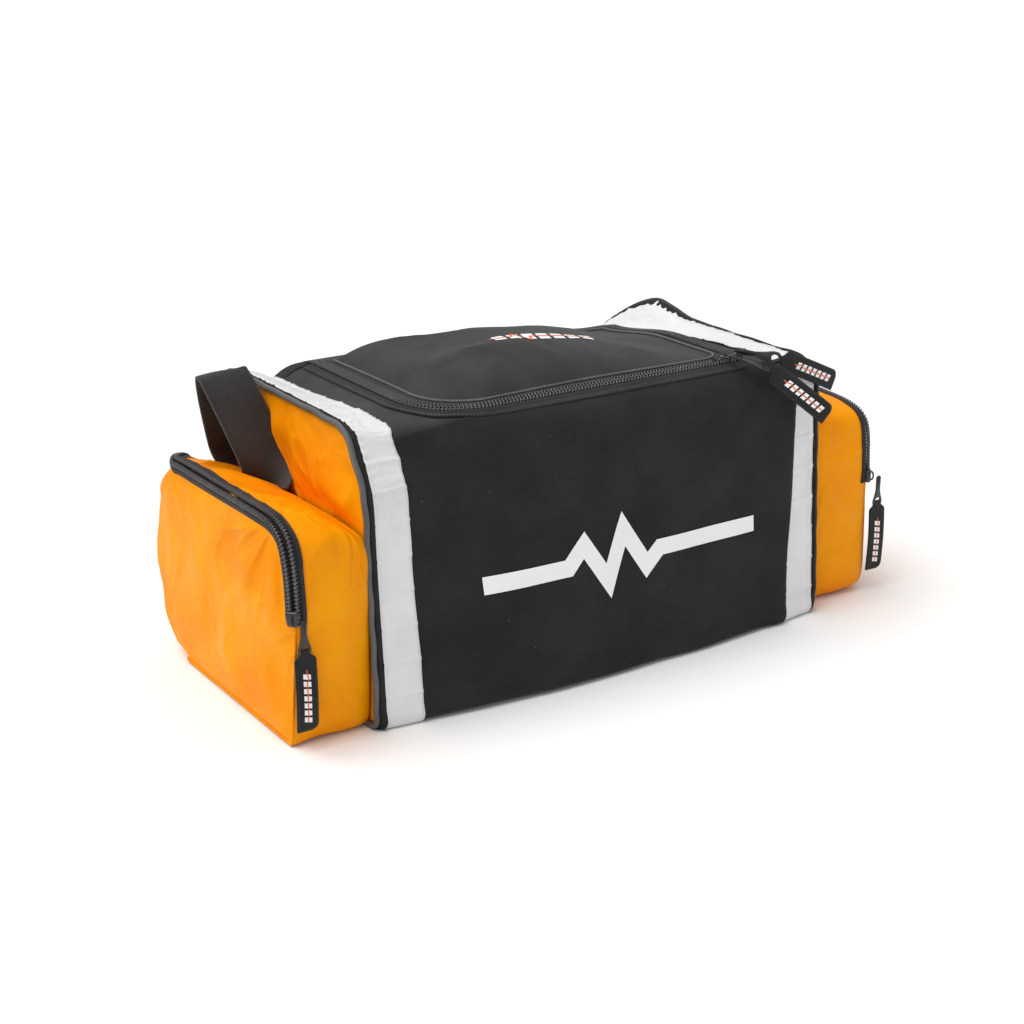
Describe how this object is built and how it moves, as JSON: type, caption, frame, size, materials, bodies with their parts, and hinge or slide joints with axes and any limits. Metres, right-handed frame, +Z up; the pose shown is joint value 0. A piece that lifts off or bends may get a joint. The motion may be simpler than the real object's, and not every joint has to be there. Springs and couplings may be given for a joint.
{
  "type": "emergency equipment holdall",
  "caption": "Soft black and orange responder's holdall with a domed zip lid, zipped end pockets, reflective bands, pull tabs and grab handles.",
  "frame": {"origin": "middle of the flat base on the surface the bag stands on", "axes": "+X towards the right-hand end pocket, -Y towards the printed front, +Z up"},
  "size_m": [0.6821, 0.3381, 0.2984],
  "materials": {
    "black_twill": "black diagonal twill of coated polyester, matt with a faint sheen",
    "orange_nylon": "bright orange coated plain-weave nylon with soft creases and a slight sheen",
    "reflective_tape": "pale reflective tape with pressed cross ribs every 31 mm",
    "piping_cord": "dark grey cord covered with smooth coated cloth",
    "binding_tape": "black folded binding cloth",
    "zip_tape": "black woven zip tape",
    "zip_coil": "black moulded nylon coil",
    "zip_metal": "black-nickel die casting",
    "pull_tab": "black folded ribbon",
    "webbing": "black polyester webbing with long ribs",
    "printed_mark": "flat white screen print",
    "base_board": "grey plastic sheet"
  },
  "bodies": {
    "bag": {"base_panel": "black_twill", "base_stiffener": "base_board", "front_panel": "black_twill", "back_panel": "black_twill", "back_yoke": "black_twill", "back_crest": "black_twill", "top_panel": "black_twill", "lid_zip_tape_outer": "zip_tape", "lid_zip_coil_outer": "zip_coil", "front_print": "printed_mark", "end_panel_left": "orange_nylon", "reflective_band_left": "reflective_tape", "binding_left": "binding_tape", "piping_left": "piping_cord", "pocket_gusset_left": "orange_nylon", "pocket_face_left": "orange_nylon", "pocket_zip_coil_left": "zip_coil", "pocket_zip_tape_left": "zip_tape", "end_panel_right": "orange_nylon", "reflective_band_right": "reflective_tape", "binding_right": "binding_tape", "piping_right": "piping_cord", "pocket_gusset_right": "orange_nylon", "pocket_face_right": "orange_nylon", "pocket_zip_coil_right": "zip_coil", "pocket_zip_tape_right": "zip_tape"},
    "lid": {"lid_panel": "black_twill", "lid_piping": "piping_cord", "lid_print": "printed_mark", "lid_zip_tape_inner": "zip_tape", "lid_zip_coil_front": "zip_coil", "lid_zip_coil_side": "zip_coil"},
    "flap_left": {"pocket_flap_left": "orange_nylon", "flap_zip_coil_left": "zip_coil", "flap_zip_tape_left": "zip_tape"},
    "pocket_slider_left": {"pocket_slider_left": "zip_metal"},
    "pocket_pull_left": {"pocket_puller_left": "zip_metal", "pocket_tab_left": "pull_tab"},
    "handle_left": {"grab_handle_left": "webbing"},
    "flap_right": {"pocket_flap_right": "orange_nylon", "flap_zip_coil_right": "zip_coil", "flap_zip_tape_right": "zip_tape"},
    "pocket_slider_right": {"pocket_slider_right": "zip_metal"},
    "pocket_pull_right": {"pocket_puller_right": "zip_metal", "pocket_tab_right": "pull_tab"},
    "handle_right": {"grab_handle_right": "webbing"},
    "lid_slider_upper": {"lid_slider_upper": "zip_metal"},
    "lid_pull_upper": {"lid_puller_upper": "zip_metal", "lid_tab_upper": "pull_tab"},
    "lid_slider_lower": {"lid_slider_lower": "zip_metal"},
    "lid_pull_lower": {"lid_puller_lower": "zip_metal", "lid_tab_lower": "pull_tab"}
  },
  "joints": [
    {"name": "lid_hinge", "type": "hinge", "parent": "bag", "child": "lid", "pos_m": [0.003, 0.1012, 0.264], "axis": [-1, 0, 0], "range_deg": [0, 110]},
    {"name": "flap_left_hinge", "type": "hinge", "parent": "bag", "child": "flap_left", "pos_m": [-0.328, 0, 0.118], "axis": [0, -1, 0], "range_deg": [0, 110]},
    {"name": "flap_right_hinge", "type": "hinge", "parent": "bag", "child": "flap_right", "pos_m": [0.328, 0, 0.118], "axis": [0, 1, 0], "range_deg": [0, 110]},
    {"name": "lid_slider_upper_slide", "type": "slide", "parent": "bag", "child": "lid_slider_upper", "axis": [-1, 0, 0], "range_m": [0, 0.12]},
    {"name": "lid_slider_lower_slide", "type": "slide", "parent": "lid_slider_upper", "child": "lid_slider_lower", "axis": [-1, 0, 0], "range_m": [0, 0.13]},
    {"name": "lid_pull_upper_hinge", "type": "hinge", "parent": "lid_slider_upper", "child": "lid_pull_upper", "pos_m": [0.1685, -0.11, 0.2732], "axis": [-0.7021, -0.7121, 0], "range_deg": [0, 100]},
    {"name": "lid_pull_lower_hinge", "type": "hinge", "parent": "lid_slider_lower", "child": "lid_pull_lower", "pos_m": [0.1525, -0.1165, 0.2732], "axis": [-0.6791, -0.7341, 0], "range_deg": [0, 100]},
    {"name": "pocket_slider_left_slide", "type": "slide", "parent": "bag", "child": "pocket_slider_left", "axis": [0, 0, 1], "range_m": [0, 0.038]},
    {"name": "pocket_slider_right_slide", "type": "slide", "parent": "bag", "child": "pocket_slider_right", "axis": [0, 0, 1], "range_m": [0, 0.038]},
    {"name": "pocket_pull_left_hinge", "type": "hinge", "parent": "pocket_slider_left", "child": "pocket_pull_left", "pos_m": [-0.32, -0.1502, 0.1235], "axis": [-1, 0, 0], "range_deg": [0, 150]},
    {"name": "pocket_pull_right_hinge", "type": "hinge", "parent": "pocket_slider_right", "child": "pocket_pull_right", "pos_m": [0.34, -0.1382, 0.1235], "axis": [-1, 0, 0], "range_deg": [0, 150]},
    {"name": "handle_left_hinge", "type": "hinge", "parent": "bag", "child": "handle_left", "pos_m": [-0.2555, 0.06, 0.179], "axis": [0, -1, 0], "range_deg": [-4, 32]},
    {"name": "handle_right_hinge", "type": "hinge", "parent": "bag", "child": "handle_right", "pos_m": [0.2555, 0.06, 0.18], "axis": [0, -1, 0], "range_deg": [0, 66]}
  ]
}
